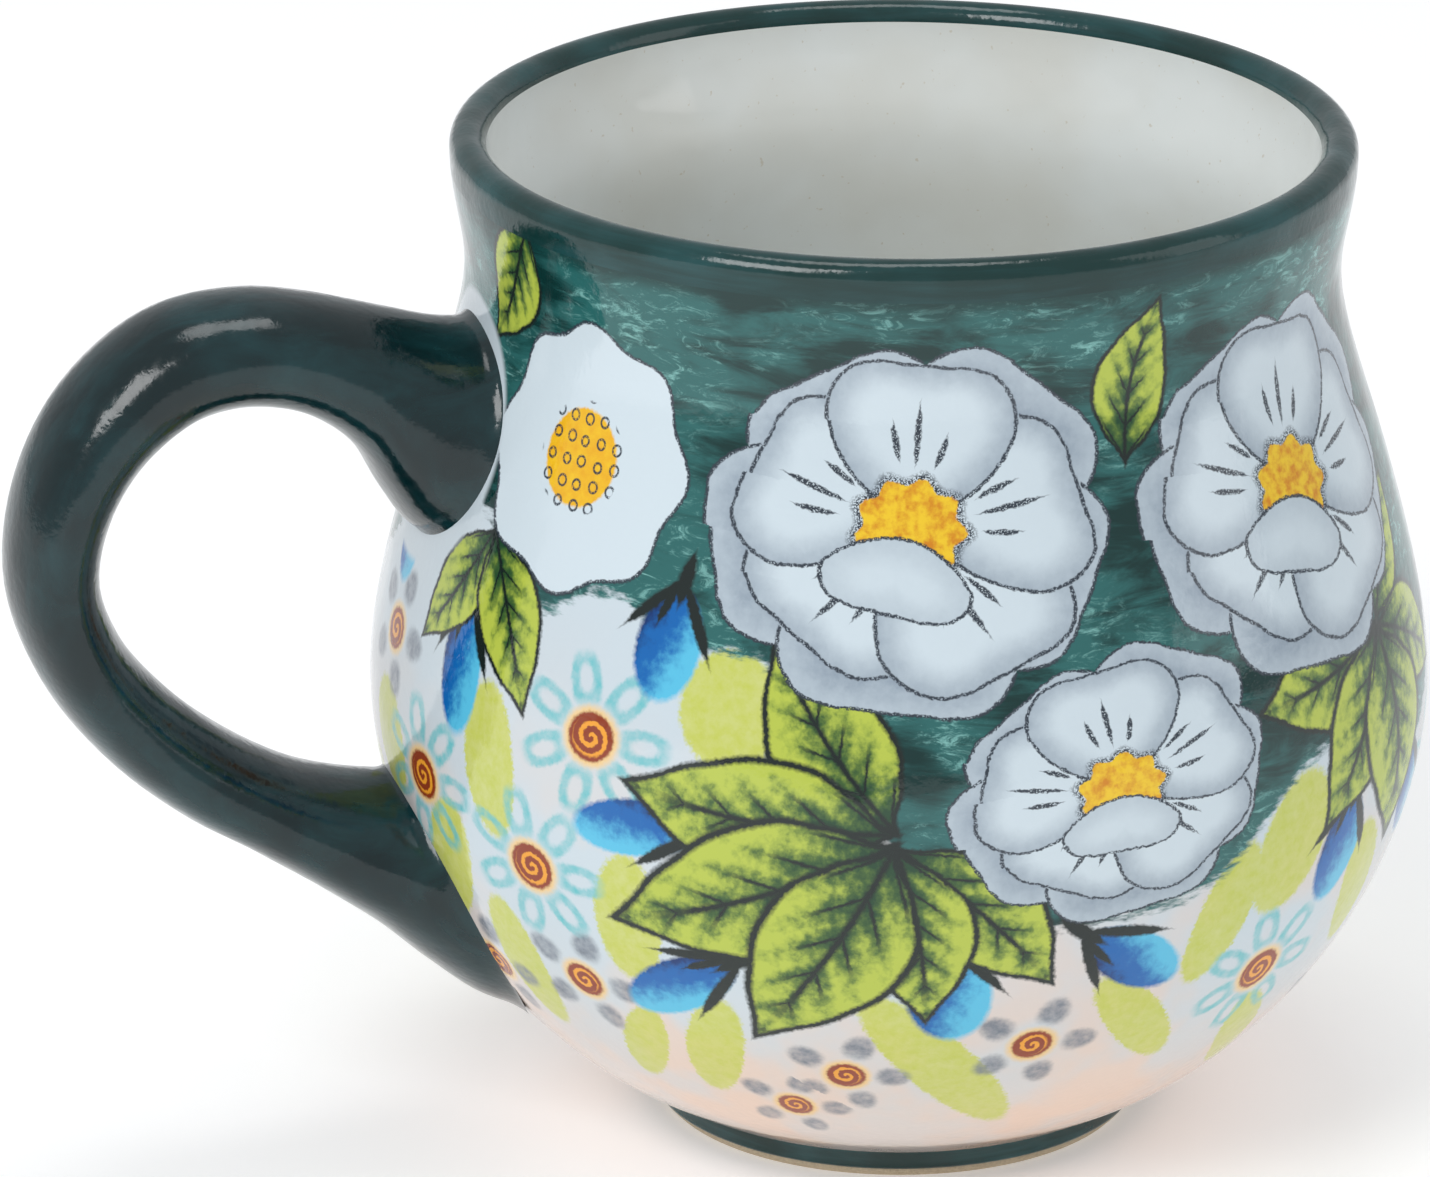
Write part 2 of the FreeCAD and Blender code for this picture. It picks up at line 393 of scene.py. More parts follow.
class Sheet:
    """The nodes of one material or one group. Masks are above 1 well inside and below 0 well outside,
    and the mixing nodes clamp them."""

    def __init__(self, tree):
        self.tree = tree
        self.tree.nodes.clear()
        self.count = 0

    def node(self, kind, **settings):
        made = self.tree.nodes.new(kind)
        made.location = (180 * (self.count % 40), -160 * (self.count // 40))
        self.count += 1
        for key, value in settings.items():
            setattr(made, key, value)
        return made

    def put(self, socket, value):
        if isinstance(value, Value):
            self.tree.links.new(value.socket, socket)
        elif value is not None:
            socket.default_value = value

    def math(self, operation, a, b=None, c=None):
        made = self.node("ShaderNodeMath", operation=operation)
        for socket, value in zip(made.inputs, (a, b, c)):
            self.put(socket, value)
        return Value(self, made.outputs[0])

    def vector(self, operation, a, b=None, scale=None):
        made = self.node("ShaderNodeVectorMath", operation=operation)
        self.put(made.inputs[0], a)
        self.put(made.inputs[1], b)
        if scale is not None:
            self.put(made.inputs["Scale"], scale)
        return Value(self, made.outputs["Value" if operation in ("LENGTH", "DOT_PRODUCT") else "Vector"])

    def across(self, vector):
        return self.vector("DOT_PRODUCT", vector, (1.0, 0.0, 0.0))

    def up(self, vector):
        return self.vector("DOT_PRODUCT", vector, (0.0, 1.0, 0.0))

    def bearing(self, vector):
        """Angle of a flat vector in radians, 0 along +x."""
        return self.math("ARCTAN2", self.up(vector), self.across(vector))

    def oval(self, place, centre, size):
        """Distance from a centre in units of the half sizes."""
        local = self.vector("SUBTRACT", place, (*centre, 0.0))
        local = self.vector("MULTIPLY", local, (1.0 / size[0], 1.0 / size[1], 0.0))
        return self.vector("LENGTH", local)

    def combine(self, x, y):
        made = self.node("ShaderNodeCombineXYZ")
        for socket, value in zip(made.inputs, (x, y)):
            self.put(socket, value)
        return Value(self, made.outputs[0])

    def stretched(self, vector, size):
        made = self.node("ShaderNodeMapping", vector_type="POINT")
        self.put(made.inputs["Vector"], vector)
        made.inputs["Scale"].default_value = size
        return Value(self, made.outputs[0])

    def curve(self, x, points):
        """A smooth curve through the points, read at x."""
        made = self.node("ShaderNodeFloatCurve")
        made.mapping.use_clip = False
        track = made.mapping.curves[0].points
        first, *between, last = sorted(points)
        track[0].location = first
        track[1].location = last
        for point in between:
            track.new(*point)
        made.mapping.update()
        self.put(made.inputs["Value"], x)
        return Value(self, made.outputs[0])

    def ramp(self, value, low, high, to_low=0.0, to_high=1.0):
        made = self.node("ShaderNodeMapRange", interpolation_type="SMOOTHSTEP", clamp=False)
        for socket, part in zip(made.inputs, (value, low, high, to_low, to_high)):
            self.put(socket, part)
        return Value(self, made.outputs[0])

    def fill(self, distance, soft=0.1):
        """1 where a distance is positive, with an edge as wide as soft."""
        return self.math("MULTIPLY_ADD", distance, 1.0 / soft, 0.5)

    def line(self, distance, width, soft=0.12):
        """1 within half a width of where a distance is zero."""
        off = self.math("ABSOLUTE", distance)
        return self.math("MULTIPLY_ADD", off, -1.0 / soft, width / 2 / soft + 0.5)

    def noise(self, vector, scale, detail=2.0, rough=0.5, distortion=0.0, colour=False):
        made = self.node("ShaderNodeTexNoise")
        self.put(made.inputs["Vector"], vector)
        made.inputs["Scale"].default_value = scale
        made.inputs["Detail"].default_value = detail
        made.inputs["Roughness"].default_value = rough
        made.inputs["Distortion"].default_value = distortion
        return Value(self, made.outputs["Color" if colour else "Fac"])

    def mix(self, a, b, amount, kind="RGBA"):
        """From a to b as amount goes from 0 to 1."""
        made = self.node("ShaderNodeMix", data_type=kind)
        first, second, result = MIX_SOCKETS[kind]
        self.put(made.inputs[0], amount)
        self.put(made.inputs[first], a)
        self.put(made.inputs[second], b)
        return Value(self, made.outputs[result])

    def most(self, a, b):
        return self.math("MAXIMUM", a, b)

    def least(self, a, b):
        return self.math("MINIMUM", a, b)

    def use(self, group, **values):
        """An instance of a group, with values for its inputs by name."""
        made = self.node("ShaderNodeGroup", node_tree=group)
        for name, value in values.items():
            self.put(made.inputs[name], value)
        return Value(self, made.outputs[0])


SOCKETS = {"f": "NodeSocketFloat", "v": "NodeSocketVector", "c": "NodeSocketColor"}


def group(name, inputs, output, build):
    """A node group with the given inputs, as name to kind, and one output, made by build."""
    tree = bpy.data.node_groups.new(name, "ShaderNodeTree")
    for key, kind in inputs.items():
        tree.interface.new_socket(key, in_out="INPUT", socket_type=SOCKETS[kind])
    tree.interface.new_socket("out", in_out="OUTPUT", socket_type=SOCKETS[output])
    sheet = Sheet(tree)
    entry = sheet.node("NodeGroupInput")
    result = build(sheet, *[Value(sheet, entry.outputs[key]) for key in inputs])
    leave = sheet.node("NodeGroupOutput")
    sheet.put(leave.inputs[0], result)
    return tree


def rgb(r, g, b):
    """A scene-linear colour from 0-255 screen values."""
    def linear(v):
        v /= 255.0
        return v / 12.92 if v <= 0.04045 else ((v + 0.055) / 1.055) ** 2.4
    return (linear(r), linear(g), linear(b), 1.0)


GREEN_DEEP = rgb(5, 47, 45)
GREEN_MID = rgb(42, 100, 98)
GREEN_PALE = rgb(132, 190, 184)
WHITE = rgb(206, 219, 226)
PETAL_GREY = rgb(118, 133, 150)
INK = rgb(50, 58, 68)
INK_GREEN = rgb(24, 34, 32)
LEAF = rgb(180, 194, 76)
LEAF_MID = rgb(96, 128, 54)
LEAF_DARK = rgb(30, 68, 42)
BLUE = rgb(6, 98, 172)
BLUE_DEEP = rgb(4, 46, 104)
CYAN = rgb(88, 188, 222)
TURQUOISE = rgb(92, 186, 192)
DAISY_GREY = rgb(112, 120, 132)
RUST = rgb(140, 54, 22)
PEACH = rgb(232, 202, 182)
GROUND = rgb(199, 211, 218)
BUMP_DEPTH = 0.0004


def finish(sheet, colour, roughness, bump=None, strength=0.1, spec=0.5):
    """The sheet's shader and output, with a bump from the given heights."""
    shader = sheet.node("ShaderNodeBsdfPrincipled")
    sheet.put(shader.inputs["Base Color"], colour)
    sheet.put(shader.inputs["Roughness"], roughness)
    shader.inputs["Specular IOR Level"].default_value = spec
    if bump is not None:
        relief = sheet.node("ShaderNodeBump")
        relief.inputs["Strength"].default_value = strength
        relief.inputs["Distance"].default_value = BUMP_DEPTH
        sheet.put(relief.inputs["Height"], bump)
        sheet.tree.links.new(relief.outputs[0], shader.inputs["Normal"])
    out = sheet.node("ShaderNodeOutputMaterial")
    sheet.tree.links.new(shader.outputs[0], out.inputs[0])
    return shader


def object_mm(sheet):
    coords = sheet.node("ShaderNodeTexCoord")
    return sheet.vector("SCALE", Value(sheet, coords.outputs["Object"]), scale=1 / MM)


def new_material(name):
    """A material, its sheet and the place on the object in mm."""
    material = bpy.data.materials.new(name)
    material.use_nodes = True
    sheet = Sheet(material.node_tree)
    return material, sheet, object_mm(sheet)


def uneven(sheet, place, pit_scale, pit_depth, wave_scale):
    """The small pits of a fired glaze, and the relief that they make with its slow waves."""
    pits = sheet.noise(place, pit_scale, 2.0, 0.5)
    waves = sheet.noise(place, wave_scale, 1.0, 0.5)
    return pits, sheet.math("MULTIPLY_ADD", waves, 3.0, pits * pit_depth)


def heading(degrees):
    """Cosine and sine of an angle."""
    return math.cos(math.radians(degrees)), math.sin(math.radians(degrees))


# ---- the painted pattern -------------------------------------------------------------------------
# The pattern is drawn on the outside as on paper: x is the angle round the mug times MAP_RADIUS,
# 0 at the front and negative towards the handle; y is the length up the outline from the table.
MAP_RADIUS = 45.0
REPEAT = math.pi * MAP_RADIUS  # the pattern goes round twice
SEAM = -81.7  # where one repeat ends and the next starts


def outline(sheet, place, centre, points):
    """Distance inside a rounded shape through the points, in mm, seen from its centre."""
    local = sheet.vector("SUBTRACT", place, (*centre, 0.0))
    polar = []
    for x, y in points:
        polar.append((math.atan2(y - centre[1], x - centre[0]), math.dist((x, y), centre)))
    polar.sort()
    before = (polar[-1][0] - 2 * math.pi, polar[-1][1])
    after = (polar[0][0] + 2 * math.pi, polar[0][1])
    edge = sheet.curve(sheet.bearing(local), [before] + polar + [after])
    return edge - sheet.vector("LENGTH", local)


def axes(base, turn, length, width):
    """A frame at base, turned by radians, in units of length and width."""
    cosine, sine = math.cos(turn), math.sin(turn)
    return {
        "base": (*base, 0.0),
        "along": (cosine / length, sine / length, 0.0),
        "side": (-sine / width, cosine / width, 0.0),
    }


def pose(base, tip, half_width):
    """The frame of a leaf or stroke from base to tip."""
    turn = math.atan2(tip[1] - base[1], tip[0] - base[0])
    return axes(base, turn, math.dist(base, tip), half_width)


def in_axes(sheet, place, base, along, side):
    local = sheet.vector("SUBTRACT", place, base)
    return sheet.vector("DOT_PRODUCT", local, along), sheet.vector("DOT_PRODUCT", local, side)


def length_of(sheet, x, y):
    return sheet.math("SQRT", sheet.math("MULTIPLY_ADD", x, x, y * y))


def blade(sheet, place, base, along, side, shape, bend):
    """Distance inside a leaf-like shape in half widths, the way along it and the way across."""
    along, across = in_axes(sheet, place, base, along, side)
    bow = (1.0 - along) * along
    across = sheet.math("MULTIPLY_ADD", bow, bend, across)
    return sheet.curve(along, shape) - sheet.math("ABSOLUTE", across), along, across


# Half width of a leaf and of a pen stroke, as (way along, half width), below 0 past their ends.
LEAF_SHAPE = [
    (-0.4, -0.9), (-0.04, -0.02), (0.0, 0.05), (0.16, 0.62), (0.42, 1.0), (0.7, 0.72), (0.92, 0.2),
    (1.0, 0.02), (1.4, -0.9),
]
STROKE_SHAPE = [(-0.5, -1.0), (0.0, 0.0), (0.25, 0.8), (0.6, 1.0), (1.0, 0.1), (1.5, -1.0)]
POSE = {"base": "v", "along": "v", "side": "v"}


def build_stroke(sheet, place, ink, base, along, side, bend):
    inside, _, _ = blade(sheet, place, base, along, side, STROKE_SHAPE, bend)
    return sheet.most(ink, sheet.fill(inside, 0.5))


def build_leaf(sheet, place, colour, grain, base, along, side, bend):
    edge, along, across = blade(sheet, place, base, along, side, LEAF_SHAPE, bend)
    spine = sheet.math("ABSOLUTE", across)
    slant = sheet.math("MULTIPLY_ADD", spine, -0.32, along)
    reach = sheet.math("MULTIPLY_ADD", along, 0.7, spine)
    # brushed dark green that runs out along the veins
    streak = sheet.math("PINGPONG", slant, 0.095)
    shade = sheet.math("MULTIPLY_ADD", reach, -1.3, streak * -6.0 + 0.55)
    dark = sheet.math("MULTIPLY_ADD", grain, 1.9, shade)
    body = sheet.mix(LEAF, LEAF_MID, dark + 0.2)
    body = sheet.mix(body, LEAF_DARK, dark - 0.15)
    colour = sheet.mix(colour, body, sheet.fill(edge, 0.08))
    veins = sheet.least(sheet.fill(0.01 - streak, 0.014), sheet.fill(0.7 - reach, 0.25))
    rib = sheet.least(sheet.fill(0.05 - spine, 0.06), sheet.fill(0.8 - along, 0.2))
    inside = sheet.least(sheet.most(veins, rib), sheet.fill(edge, 0.08))
    return sheet.mix(colour, INK_GREEN, sheet.most(inside, sheet.line(edge, 0.12, 0.07)))


def build_bud(sheet, place, colour, grain, base, along, side):
    x, y = in_axes(sheet, place, base, along, side)
    edge = 1.0 - length_of(sheet, x, y)
    shade = sheet.math("MULTIPLY_ADD", x, 0.9, y * -0.55 - 0.45)
    tone = sheet.math("MULTIPLY_ADD", grain, 1.2, shade)
    body = sheet.mix(BLUE, CYAN, sheet.ramp(tone, -0.1, 0.9))
    body = sheet.mix(body, BLUE_DEEP, sheet.ramp(tone, -0.25, -0.95))
    return sheet.mix(colour, body, sheet.fill(edge, 0.14))


def build_pale(sheet, place, far, base, along, side):
    return sheet.least(far, length_of(sheet, *in_axes(sheet, place, base, along, side)))


BEND = {"bend": "f"}
STROKE = group("stroke", {"place": "v", "ink": "f"} | POSE | BEND, "f", build_stroke)
LEAF_GROUP = group("leaf", {"place": "v", "colour": "c", "grain": "f"} | POSE | BEND, "c", build_leaf)
BUD = group("bud", {"place": "v", "colour": "c", "grain": "f"} | POSE, "c", build_bud)
PALE = group("pale_leaf", {"place": "v", "far": "f"} | POSE, "f", build_pale)
PEN = 1.2  # how broad the pen is against the widths listed with the petals


def strokes(sheet, place, ink, items):
    """Adds tapered pen strokes, each (x0, y0, x1, y1, width, bend), to an amount of ink."""
    for x0, y0, x1, y1, width, bend in items:
        lies = pose((x0, y0), (x1, y1), width / 2)
        ink = sheet.use(STROKE, place=place, ink=ink, bend=-4.0 * bend, **lies)
    return ink


def petals(sheet, place, layers):
    """Overlapping petals from back to front: how much is covered, how grey it is, and the ink lines.
    Each layer is (centre, points, base grey, edge grey, line width)."""
    cover, tone, ink = -9.0, 0.0, 0.0
    for centre, points, base, edge, width in layers:
        depth = outline(sheet, place, centre, points)
        inside = sheet.fill(depth, 0.12)
        tone = sheet.mix(tone, sheet.ramp(depth, 0.0, 4.0, edge, base), inside, "FLOAT")
        cover = sheet.most(cover, inside)
        line = sheet.line(depth, PEN * width)
        ink = sheet.mix(ink, line, sheet.fill(depth + width, 0.12), "FLOAT")
    return cover, tone, ink


PETAL_POINTS = 14
NOTCH_DEPTH = 0.13  # of half a petal's length
NOTCH_ANGLE = 0.4
PETAL_FLARE = 0.25  # how much wider a petal is towards its tip


def petal(turn, near, far, half_width, base, edge, width=0.3):
    """A notched petal that points away from the middle of its flower, as petals() takes it."""
    middle, half_length = (near + far) / 2, (far - near) / 2
    cosine, sine = heading(turn)
    points = []
    for k in range(PETAL_POINTS):
        angle = 2 * math.pi * k / PETAL_POINTS - math.pi
        notch = NOTCH_DEPTH * math.exp(-((angle / NOTCH_ANGLE) ** 2))
        along = middle + half_length * (math.cos(angle) - notch)
        across = half_width * math.sin(angle) * (1.0 + PETAL_FLARE * math.cos(angle))
        points.append((cosine * along - sine * across, sine * along + cosine * across))
    return (cosine * middle, sine * middle), points, base, edge, width


# A blossom seen from the front, about its own middle: grey petals behind, white ones before them,
# and a small one over the eye.
FIFTH = 72  # degrees from one petal to the next
BACK_PETALS = [
    petal(54 + FIFTH * k, 3.0, 19.0 + math.cos(2.4 * k), 9.6, 0.7, 0.45) for k in range(5)
]
FRONT_PETALS = [
    petal(90 + FIFTH * k, 1.5, 16.6 + math.cos(1.9 * k), 8.6, 0.05, 0.55) for k in (2, 3, 1, 4, 0)
]
LIP_PETALS = [petal(262, 1.2, 9.4, 6.4, 0.08, 0.3)]
EYE_RADIUS = 4.6
# Pen strokes on a white petal, as (degrees off its middle, near end, far end).
PETAL_STROKES = [(-15, 6.4, 9.8), (1, 6.2, 12.4), (14, 6.6, 10.6)]


def blossom_strokes():
    """Three pen strokes on each white petal."""
    items = []
    for k in range(5):
        for off, near, far in PETAL_STROKES:
            cosine, sine = heading(90 + FIFTH * k + off)
            items.append((near * cosine, near * sine, far * cosine, far * sine, 0.6, 0.02 * off))
    return items


def paint_petals(sheet, spot, colour, grain, stipple, layers, pen):
    cover, tone, ink = petals(sheet, spot, layers)
    tone = tone * sheet.math("MULTIPLY_ADD", grain, 0.7, 0.68)
    colour = sheet.mix(colour, sheet.mix(WHITE, PETAL_GREY, tone), cover)
    ink = strokes(sheet, spot, ink, pen)
    return sheet.mix(colour, INK, sheet.least(ink, sheet.ramp(stipple, 0.26, 0.5)))


def build_blossom(sheet, spot, colour, grain, stipple):
    layers = BACK_PETALS + FRONT_PETALS
    colour = paint_petals(sheet, spot, colour, grain, stipple, layers, blossom_strokes())
    turn = sheet.bearing(spot)
    frill = sheet.math("COSINE", turn * 9.0) * 0.4
    edge = frill + EYE_RADIUS - sheet.vector("LENGTH", spot)
    fringe = sheet.least(sheet.fill(edge + 0.7, 0.7), sheet.ramp(stipple, 0.42, 0.54))
    colour = sheet.mix(colour, INK, fringe)
    amber = sheet.mix(rgb(236, 196, 40), rgb(206, 128, 22), sheet.ramp(grain, 0.36, 0.74))
    colour = sheet.mix(colour, amber, sheet.fill(edge, 0.2))
    return paint_petals(sheet, spot, colour, grain, stipple, LIP_PETALS, [])


# Each blossom is (middle, turn in degrees, share of full width, share of full height).
BIG_BLOSSOM = ((-12.0, 83.3), -6, 1.06, 0.9)
SMALL_BLOSSOM = ((6.0, 58.6), 9, 0.8, 0.66)
BLOSSOM_STEP = (42.0, -1.8)  # from the first big blossom to the second
SECOND_FROM = 9.0  # the second big blossom is drawn from this x on
SIMPLE_FLOWER = ((-46.6, 85.6), 12.2, 12.0)  # middle, half width, half height
SIMPLE_EYE = 4.5


def spray(base, start, turns, lengths, half_width):
    """Leaves that fan out round a base, each from a little way out, as (base, tip, half width).
    The half width given is that of a leaf 20 mm long."""
    leaves = []
    for turn, length in zip(turns, lengths):
        cosine, sine = heading(turn)
        root = (base[0] + start * cosine, base[1] + start * sine)
        tip = (root[0] + length * cosine, root[1] + length * sine)
        leaves.append((root, tip, half_width * length / 20))
    return leaves


LEAVES = (
    spray((-55.6, 76.6), 0.5, (238, 298), (14.5, 16.5), 4.9)
    + spray((-55.0, 106.0), 0.5, (236,), (15.5,), 5.4)
    + spray((9.4, 87.6), 0.5, (76,), (15.0,), 5.5)
    + spray((-13.0, 55.6), 0.8, (122, 174), (19.5, 22.5), 5.2)
    + spray((-13.0, 54.6), 0.8, (203, 312, 278, 240), (26.0, 19.5, 18.5, 25.0), 5.2)
    + spray((38.4, 65.6), 0.8, (48, 330, 190, 238, 277), (14.5, 16.5, 17.5, 18.5, 21.5), 5.8)
    + spray((-71.0, 79.0), 0.5, (122, 62), (14.0, 14.0), 5.2)
)
# Soft leaves behind, as (centre, half sizes, angle).
PALE_LEAVES = [
    ((-27.3, 66.0), (4.6, 5.6), 0), ((-51.2, 56.0), (3.2, 7.4), 8), ((-58.6, 43.5), (3.4, 7.0), -18),
    ((-51.5, 34.0), (3.2, 8.0), 4), ((-36.6, 44.0), (3.3, 7.0), -4), ((-39.0, 27.5), (2.5, 6.6), -24),
    ((-30.8, 29.0), (3.0, 7.8), -16), ((-8.2, 28.0), (3.6, 13.2), 36), ((10.3, 32.6), (2.7, 8.2), 38),
    ((24.0, 49.0), (4.2, 7.2), -18), ((16.8, 43.5), (3.0, 7.6), -16), ((27.6, 24.8), (3.0, 7.4), 26),
    ((37.0, 40.0), (3.2, 7.6), 14), ((-69.0, 52.0), (3.6, 5.6), 20), ((48.0, 33.0), (3.0, 6.6), -20),
    ((-76.0, 42.0), (3.2, 7.0), -10),
]
# Blue buds as (centre, half sizes, angle): the second size runs from the dark end to the pale end.
BUDS = [
    ((-33.6, 71.0), (3.1, 5.2), -8), ((-56.4, 63.4), (2.8, 6.4), 4), ((-35.4, 53.8), (2.7, 5.9), -80),
    ((-32.6, 37.4), (2.9, 6.5), -56), ((-8.4, 38.6), (3.8, 5.8), 8), ((8.2, 40.9), (2.9, 5.6), 54),
    ((31.0, 46.0), (3.1, 5.3), -12), ((46.0, 46.5), (2.9, 4.8), 10), ((-71.5, 72.0), (2.8, 5.6), 6),
]


# Strokes round a bud's dark end, as (x0, y0, x1, y1, width), places in half sizes of the bud.
SEPALS = [
    (0.1, 1.7, 0.0, 0.7, 1.5), (0.1, 1.25, -1.5, 0.1, 1.1), (0.0, 1.2, 1.3, -0.1, 1.2),
    (-0.1, 1.2, -0.5, 0.3, 0.9),
]


def sepals():
    """The pen strokes of every bud, as strokes() takes them."""
    items = []
    for (cx, cy), (half_width, half_length), angle in BUDS:
        cosine, sine = heading(angle)
        for x0, y0, x1, y1, width in SEPALS:
            ends = []
            for x, y in ((x0 * half_width, y0 * half_length), (x1 * half_width, y1 * half_length)):
                ends += [cx + cosine * x - sine * y, cy + sine * x + cosine * y]
            items.append((*ends, width, 0.1 if x1 > 0 else -0.1))
    return items


BLUE_DAISIES = [
    (-61.3, 51.0), (-46.3, 47.0), (-40.0, 61.3), (24.0, 34.8), (-72.5, 33.0), (54.0, 46.0),
]
GREY_DAISIES = [
    (-69.7, 62.2), (-43.3, 35.0), (-57.3, 32.0), (-17.8, 27.0), (0.0, 31.2), (42.0, 24.0),
    (-24.0, 20.5),
]
# Lower edge of the green wash round one repeat, as (x, y).
WASH_EDGE = [
    (-81.7, 66), (-75, 71), (-67, 77), (-58, 78), (-53, 74.5), (-47, 71.5), (-41, 74.5),
    (-36, 73), (-31, 71), (-26, 71), (-21, 67), (-16, 60), (-11, 51), (-6, 46), (0, 45.5),
    (6, 46), (12, 46.5), (17, 49), (22, 54), (28, 57), (34, 55), (41, 51), (48, 53), (55, 61),
    (59.7, 66),
]
BAND_SHADE = (102.6, 104.4)  # the wash darkens to the rim's green from the first y to the second
# Bare patch round the handle's upper root: its middle's y and its half sizes.
BARE_HEIGHT = 82.0
BARE_SIZE = (12.2, 12.8)


BRUSH = {"spot": "v", "colour": "c", "grain": "f", "stipple": "f"}
BLOSSOM = group("blossom", BRUSH, "c", build_blossom)


def nearest(sheet, place, centres):
    """Coordinates about whichever centre is nearest, and the distance to it."""
    best, reach = None, None
    for centre in centres:
        local = sheet.vector("SUBTRACT", place, (*centre, 0.0))
        length = sheet.vector("LENGTH", local)
        if best is None:
            best, reach = local, length
            continue
        closer = sheet.math("LESS_THAN", length, reach)
        best = sheet.mix(best, local, closer, "VECTOR")
        reach = sheet.least(reach, length)
    return best, reach


def daisy_petals(sheet, turn, reach, count, ring, size, hollow):
    """Petals round a centre: ovals at a radius, filled or drawn as loops."""
    sector = 2 * math.pi / count
    off = sheet.math("WRAP", turn, sector / 2, -sector / 2)
    across = off * reach * (1.0 / size[1])
    along = sheet.math("MULTIPLY_ADD", reach, 1.0 / size[0], -ring / size[0])
    oval = length_of(sheet, across, along)
    if hollow:
        sides = sheet.ramp(sheet.math("ABSOLUTE", along), 1.0, 0.5)
        return sheet.ramp(sheet.math("ABSOLUTE", oval - 0.78), 0.46, 0.12) * sides
    return sheet.ramp(oval, 1.15, 0.55)


def daisy_middle(sheet, colour, reach, turn, radius):
    """Yellow halo, rust ring and a yellow curl in the middle."""
    halo = sheet.ramp(reach, radius + 0.9, radius)
    colour = sheet.mix(colour, rgb(240, 196, 110), halo * 0.8)
    ring = sheet.ramp(reach, radius + 0.15, radius - 0.25)
    colour = sheet.mix(colour, RUST, ring)
    coil = sheet.math("MULTIPLY_ADD", turn, 0.16, reach)
    band = sheet.math("PINGPONG", coil, 0.5)
    curl = sheet.ramp(band, 0.22, 0.36) * sheet.ramp(reach, radius - 0.35, radius - 0.7)
    return sheet.mix(colour, rgb(236, 158, 42), curl)


def build_ground(sheet, place, flat, shake, grain):
    """White ground with a peach wash towards the foot, and soft leaves without outlines."""
    y = sheet.up(flat)
    cloud = sheet.noise(place, 0.07, 3.0, 0.55)
    blush = sheet.ramp(cloud, 0.42, 0.62) * sheet.ramp(y, 75.0, 35.0)
    peach = sheet.math("MULTIPLY_ADD", sheet.ramp(y, 44.0, 10.0), 0.55, blush * 0.5)
    colour = sheet.mix(GROUND, PEACH, peach)
    soft = sheet.vector("ADD", flat, sheet.vector("SCALE", shake, scale=0.9))
    far = 9.0
    for centre, (half_width, half_length), angle in PALE_LEAVES:
        lies = axes(centre, math.radians(angle), half_width, half_length)
        far = sheet.use(PALE, place=soft, far=far, **lies)
    wash = sheet.ramp(far, 1.06, 0.92) * sheet.math("MULTIPLY_ADD", grain, 0.3, 0.72)
    olive = sheet.mix(rgb(206, 208, 84), rgb(184, 194, 60), grain)
    return sheet.mix(colour, olive, wash)


def build_daisies(centres, count, ring, size, hollow, middle, tint, strength):
    """The builder of a group with daisies of one kind: count petals at the radius ring."""
    def build(sheet, hand, colour, grain):
        local, reach = nearest(sheet, hand, centres)
        turn = sheet.bearing(local)
        mask = daisy_petals(sheet, turn, reach, count, ring, size, hollow)
        colour = sheet.mix(colour, tint, mask * sheet.math("MULTIPLY_ADD", grain, 1.1, strength))
        return daisy_middle(sheet, colour, reach, turn, middle)
    return build


def build_wash(sheet, place, flat, colour):
    """The green brushed wash that hangs from the rim."""
    x, y = sheet.across(flat), sheet.up(flat)
    ragged = sheet.noise(sheet.stretched(flat, (0.35, 1.1, 1.0)), 1.0, 4.0, 0.65)
    height = sheet.math("MULTIPLY_ADD", ragged, 4.5, y - sheet.curve(x, WASH_EDGE) - 2.2)
    brush = sheet.noise(sheet.stretched(place, (0.07, 0.07, 0.32)), 1.0, 5.0, 0.66, 0.9)
    patch = sheet.noise(place, 0.085, 2.0, 0.5)
    tone = sheet.math("MULTIPLY_ADD", patch, 1.6, brush * 1.5 - 1.15)
    green = sheet.mix(GREEN_DEEP, GREEN_MID, sheet.ramp(tone, 0.1, 0.6))
    scratch = sheet.noise(sheet.stretched(place, (0.3, 0.3, 0.85)), 1.0, 6.0, 0.78, 1.0)
    pale = sheet.ramp(scratch, 0.5, 0.68) * sheet.ramp(patch, 0.42, 0.62)
    green = sheet.mix(green, GREEN_PALE, pale * 0.85)
    colour = sheet.mix(colour, green, sheet.ramp(height, -0.5, 0.7))
    return sheet.mix(colour, GREEN_DEEP, sheet.ramp(y, *BAND_SHADE) * 0.8)


